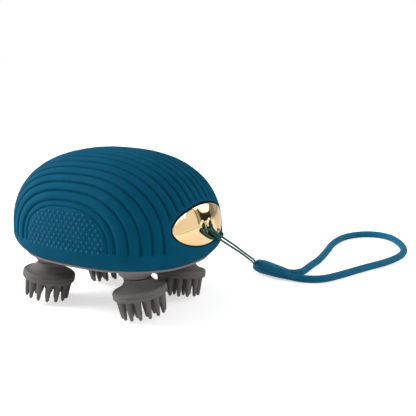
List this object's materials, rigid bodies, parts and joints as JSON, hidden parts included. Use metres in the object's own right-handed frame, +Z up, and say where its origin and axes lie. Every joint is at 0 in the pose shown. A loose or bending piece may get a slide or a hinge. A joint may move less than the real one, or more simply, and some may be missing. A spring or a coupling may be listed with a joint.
{
  "type": "electric scalp massager",
  "caption": "Handheld electric scalp massager: ribbed dome case, four tilted kneading heads with soft fingers on geared shafts, oval lanyard plate, wrist lanyard.",
  "frame": {"origin": "on the surface that the finger tips stand on, under the middle of the case", "axes": "+X along the case towards the lanyard plate, +Z up out of the dome, +Y across the case to the left"},
  "size_m": [0.1603, 0.2371, 0.0788],
  "materials": {
    "blue_silicone": "satin moulded silicone",
    "inner_plastic": "moulded ABS",
    "gold_plate": "mirror gold plated ABS",
    "clear_pipe": "smoked clear light pipe",
    "taupe_plastic": "moulded ABS",
    "seal_rubber": "matte",
    "steel": "machined",
    "gear_plastic": "acetal",
    "motor_steel": "zinc plated can",
    "cell_wrap": "shrink-wrapped cell",
    "board_green": "solder mask",
    "switch_black": "matte",
    "brass_bush": "sintered",
    "grey_silicone": "satin moulded silicone",
    "teal_cord": "braided",
    "blue_cord": "braided"
  },
  "bodies": {
    "case": {"silicone_sleeve": "blue_silicone", "upper_housing": "inner_plastic", "lanyard_plate": "gold_plate", "status_lamp": "clear_pipe", "base_plate": "taupe_plastic", "base_gasket": "seal_rubber", "case_screws": "steel", "gear_plate": "inner_plastic", "gear_plate_screws": "steel", "motor_screws": "steel", "centre_axle": "steel", "motor_gearhead": "motor_steel", "motor": "motor_steel", "battery_tray": "inner_plastic", "battery_cell": "cell_wrap", "circuit_board": "board_green", "button_switch": "switch_black", "charging_board": "board_green", "charging_socket": "steel", "lanyard_ferrule": "blue_silicone", "lanyard_string": "teal_cord", "wrist_cord": "blue_cord", "shaft_bush_1": "brass_bush", "shaft_seal_1": "seal_rubber", "shaft_bush_2": "brass_bush", "shaft_seal_2": "seal_rubber", "shaft_bush_3": "brass_bush", "shaft_seal_3": "seal_rubber", "shaft_bush_4": "brass_bush", "shaft_seal_4": "seal_rubber"},
    "centre_wheel": {"centre_gear": "gear_plastic"},
    "pinion": {"drive_pinion": "gear_plastic", "motor_shaft": "steel"},
    "button": {"power_button": "gold_plate"},
    "plug": {"socket_plug": "blue_silicone"},
    "head_1": {"head_claw_1": "grey_silicone", "head_hub_1": "gear_plastic", "output_shaft_1": "steel", "output_gear_1": "gear_plastic"},
    "head_2": {"head_claw_2": "grey_silicone", "head_hub_2": "gear_plastic", "output_shaft_2": "steel", "output_gear_2": "gear_plastic"},
    "head_3": {"head_claw_3": "grey_silicone", "head_hub_3": "gear_plastic", "output_shaft_3": "steel", "output_gear_3": "gear_plastic"},
    "head_4": {"head_claw_4": "grey_silicone", "head_hub_4": "gear_plastic", "output_shaft_4": "steel", "output_gear_4": "gear_plastic"}
  },
  "joints": [
    {"name": "centre_gear_spin", "type": "hinge", "parent": "case", "child": "centre_wheel", "pos_m": [0, 0, 0.034], "axis": [0, 0, 1], "continuous": true},
    {"name": "drive_pinion_spin", "type": "hinge", "parent": "case", "child": "pinion", "pos_m": [0.0285, 0, 0.034], "axis": [0, 0, 1], "continuous": true},
    {"name": "head_1_spin", "type": "hinge", "parent": "case", "child": "head_1", "pos_m": [-0.0266, -0.02036, 0.026], "axis": [0, 0, 1], "continuous": true},
    {"name": "head_2_spin", "type": "hinge", "parent": "case", "child": "head_2", "pos_m": [0.0266, -0.02036, 0.026], "axis": [0, 0, 1], "continuous": true},
    {"name": "head_3_spin", "type": "hinge", "parent": "case", "child": "head_3", "pos_m": [0.0266, 0.02036, 0.026], "axis": [0, 0, 1], "continuous": true},
    {"name": "head_4_spin", "type": "hinge", "parent": "case", "child": "head_4", "pos_m": [-0.0266, 0.02036, 0.026], "axis": [0, 0, 1], "continuous": true},
    {"name": "power_button_press", "type": "slide", "parent": "case", "child": "button", "axis": [1, 0, 0], "range_m": [0, 0.0009], "stiffness_N_per_m": 1200},
    {"name": "socket_plug_pull", "type": "slide", "parent": "case", "child": "plug", "axis": [-1, 0, 0], "range_m": [0, 0.008]}
  ],
  "couplings": [
    {"joint": "drive_pinion_spin", "follows": "centre_gear_spin", "ratio": -3.75},
    {"joint": "head_1_spin", "follows": "centre_gear_spin", "ratio": -2.0455},
    {"joint": "head_2_spin", "follows": "centre_gear_spin", "ratio": -2.0455},
    {"joint": "head_3_spin", "follows": "centre_gear_spin", "ratio": -2.0455},
    {"joint": "head_4_spin", "follows": "centre_gear_spin", "ratio": -2.0455}
  ]
}
